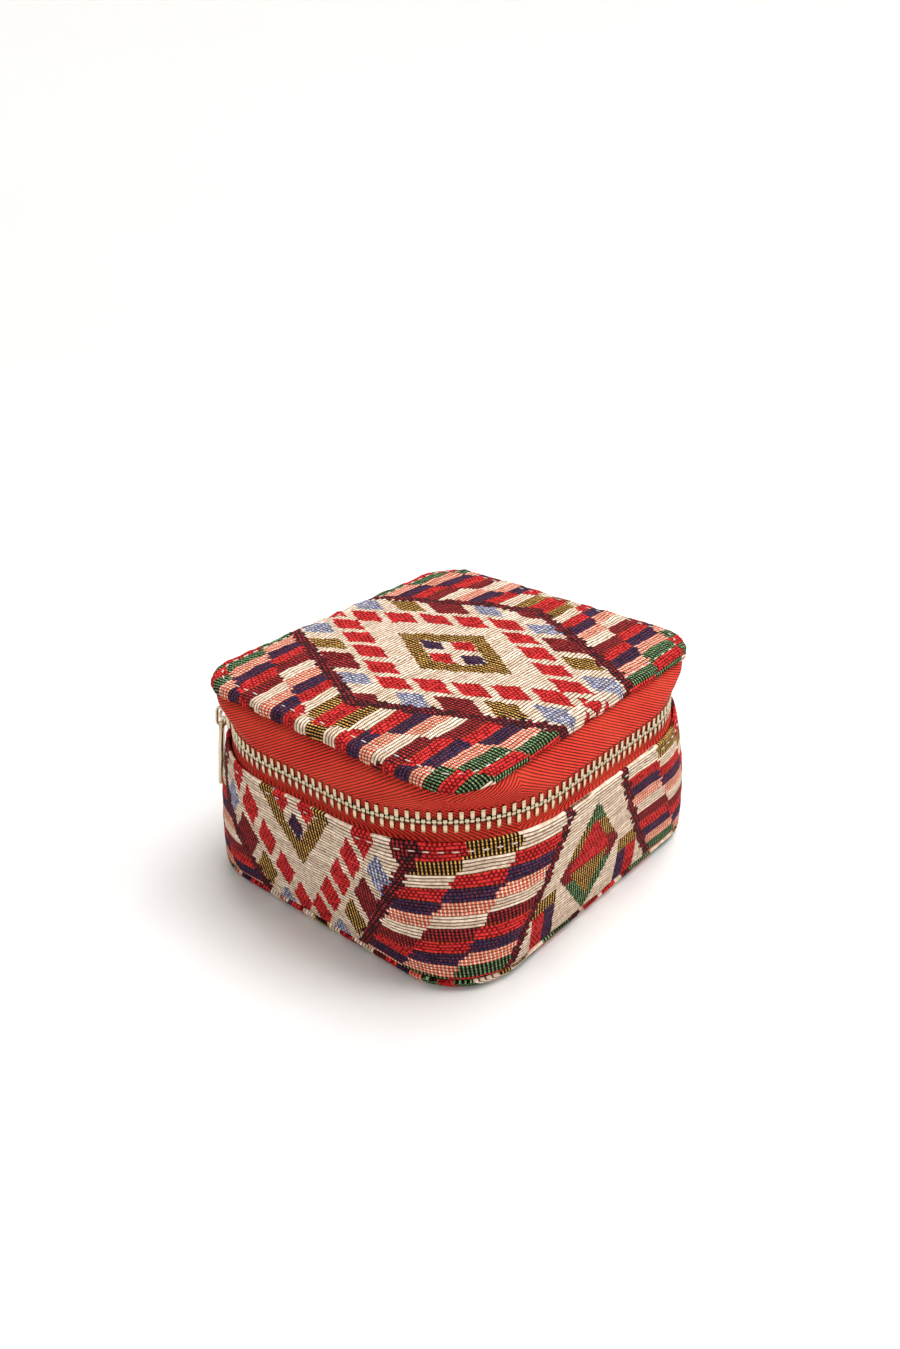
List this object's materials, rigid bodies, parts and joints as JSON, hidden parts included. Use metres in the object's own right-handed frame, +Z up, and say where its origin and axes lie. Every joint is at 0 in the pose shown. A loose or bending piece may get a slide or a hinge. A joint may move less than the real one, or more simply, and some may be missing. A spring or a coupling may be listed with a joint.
{
  "type": "jewelry case",
  "caption": "Small zip-around jewelry case in woven kilim fabric, with red zip tape, metal teeth, a hinged padded lid, ring rolls, compartments and a mirror.",
  "frame": {"origin": "middle of the case's footprint on the surface it stands on", "axes": "+Z up, +Y towards the hinge at the back, +X towards the right side as seen from the front"},
  "size_m": [0.112, 0.103, 0.0578],
  "materials": {
    "kilim": "woven cotton kilim pattern in red, cream, navy, gold and green",
    "red_tape": "red herringbone woven tape",
    "zip_metal": "pale gold, bright",
    "velvet": "dark red velvet",
    "card": "grey-brown board, hidden",
    "foam": "soft wadding, hidden",
    "mirror": "silvered glass"
  },
  "bodies": {
    "base": {"base_wall_cover": "kilim", "base_bottom_cover": "kilim", "base_wall_padding": "foam", "base_wall_board": "card", "base_floor_board": "card", "base_lining": "velvet", "base_binding": "red_tape", "long_divider": "velvet", "cross_divider": "velvet", "ring_roll_1": "velvet", "ring_roll_2": "velvet", "ring_roll_3": "velvet", "ring_roll_4": "velvet", "lower_zip_tape": "red_tape", "lower_teeth": "zip_metal", "lower_teeth_left_end": "zip_metal", "zip_bottom_stop": "zip_metal", "zip_end_patch_left": "red_tape", "zip_end_patch_right": "red_tape", "upper_tape_left_end": "red_tape", "upper_tape_right_end": "red_tape", "upper_teeth_left_end": "zip_metal", "upper_teeth_right_end": "zip_metal", "hinge_panel": "kilim"},
    "lid": {"lid_cover": "kilim", "lid_foam": "foam", "lid_board": "card", "lid_inner_board": "card", "lid_lining": "velvet", "lid_binding": "red_tape", "lid_mirror": "mirror", "upper_zip_tape": "red_tape", "upper_teeth": "zip_metal"},
    "slider": {"slider": "zip_metal"},
    "link": {"pull_link": "zip_metal"},
    "pull": {"pull_tab": "zip_metal"}
  },
  "joints": [
    {"name": "lid_hinge", "type": "hinge", "parent": "base", "child": "lid", "pos_m": [0, 0.0515, 0.042], "axis": [-1, 0, 0], "range_deg": [0, 110], "deforming": ["hinge_panel", "upper_tape_left_end", "upper_tape_right_end", "upper_teeth_left_end", "upper_teeth_right_end", "zip_end_patch_left", "zip_end_patch_right"]},
    {"name": "slider_travel", "type": "hinge", "parent": "base", "child": "slider", "pos_m": [-0.0178, 0.0133, 0.0439], "axis": [0, 0, 1], "range_deg": [0, 41], "deforming": ["lower_teeth_left_end", "upper_teeth_left_end"]},
    {"name": "link_swing", "type": "hinge", "parent": "slider", "child": "link", "pos_m": [-0.04322, 0.0436, 0.0439], "axis": [0.766, 0.6428, 0], "range_deg": [0, 150]},
    {"name": "pull_swing", "type": "hinge", "parent": "link", "child": "pull", "pos_m": [-0.04353, 0.04397, 0.03968], "axis": [-0.6387, 0.7611, 0.1132], "range_deg": [-70, 70]}
  ]
}
